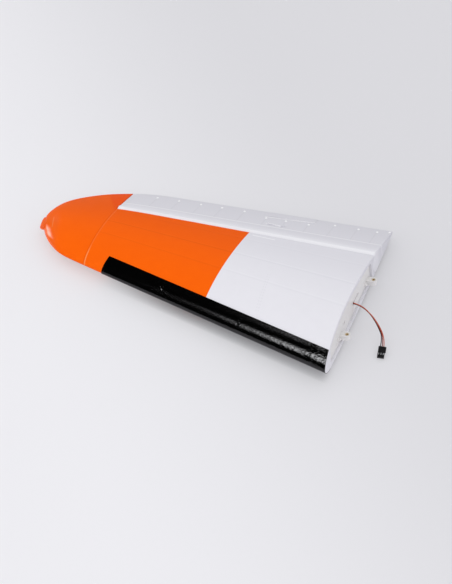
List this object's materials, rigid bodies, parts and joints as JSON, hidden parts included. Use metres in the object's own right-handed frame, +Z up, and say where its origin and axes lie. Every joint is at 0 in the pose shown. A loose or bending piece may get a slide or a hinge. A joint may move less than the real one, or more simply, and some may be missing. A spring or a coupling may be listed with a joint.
{
  "type": "model aeroplane wing tip panel",
  "caption": "Tapered foam outer wing panel with rounded tip, hinged aileron, buried servo and linkage, root tongues and servo lead.",
  "frame": {"origin": "middle of the panel's box at the surface that it rests on, without the servo lead and its plug", "axes": "+X inboard to the root, +Y aft to the trailing edge, +Z up"},
  "size_m": [0.4512, 0.2602, 0.0498],
  "materials": {
    "white_foam": "moulded foam skin",
    "orange_foam": "painted foam skin",
    "black_boot": "gloss film",
    "white_nylon": "moulded",
    "brass": "turned",
    "carbon": "drawn fibre",
    "steel": "drawn",
    "servo_black": "moulded",
    "silicone": "soft",
    "lead_wire": "insulated wire",
    "plug_black": "moulded"
  },
  "bodies": {
    "panel": {"wing_panel": "white_foam", "leading_edge_boot": "black_boot", "tip_light": "orange_foam", "root_rib": "white_nylon", "front_insert": "brass", "rear_insert": "brass", "main_spar": "carbon", "hinge_fixed_leaves": "white_nylon", "hinge_pins": "steel", "servo_hatch": "white_nylon", "hatch_screws": "steel", "servo_base_cover": "servo_black", "servo_case": "servo_black", "servo_case_lid": "servo_black", "servo_screws": "steel", "lead_in_wing": "lead_wire", "servo_lead": "lead_wire", "lead_connector": "plug_black", "connector_contacts": "brass"},
    "aileron": {"aileron": "white_foam", "aileron_rod": "carbon", "hinge_moving_leaves": "white_nylon", "control_horn": "white_nylon", "horn_screws": "steel"},
    "servo_arm": {"servo_shaft": "brass", "servo_arm": "white_nylon", "servo_arm_screw": "steel"},
    "pushrod": {"pushrod": "steel", "clevis": "white_nylon", "clevis_keeper": "silicone"}
  },
  "joints": [
    {"name": "aileron_hinge", "type": "hinge", "parent": "panel", "child": "aileron", "pos_m": [0.01387, 0.05154, 0.01941], "axis": [0.9978, 0.0645, 0.0127], "range_deg": [-25, 25]},
    {"name": "servo_arm_turn", "type": "hinge", "parent": "panel", "child": "servo_arm", "pos_m": [0.02013, -0.00818, 0.01944], "axis": [0.9978, 0.0645, 0.0127], "range_deg": [-25, 25]},
    {"name": "pushrod_pivot", "type": "hinge", "parent": "servo_arm", "child": "pushrod", "pos_m": [0.02033, -0.00817, 0.00344], "axis": [0.9978, 0.0645, 0.0127], "range_deg": [-25, 25]}
  ],
  "couplings": [
    {"joint": "servo_arm_turn", "follows": "aileron_hinge", "ratio": 1},
    {"joint": "pushrod_pivot", "follows": "aileron_hinge", "ratio": -1}
  ]
}
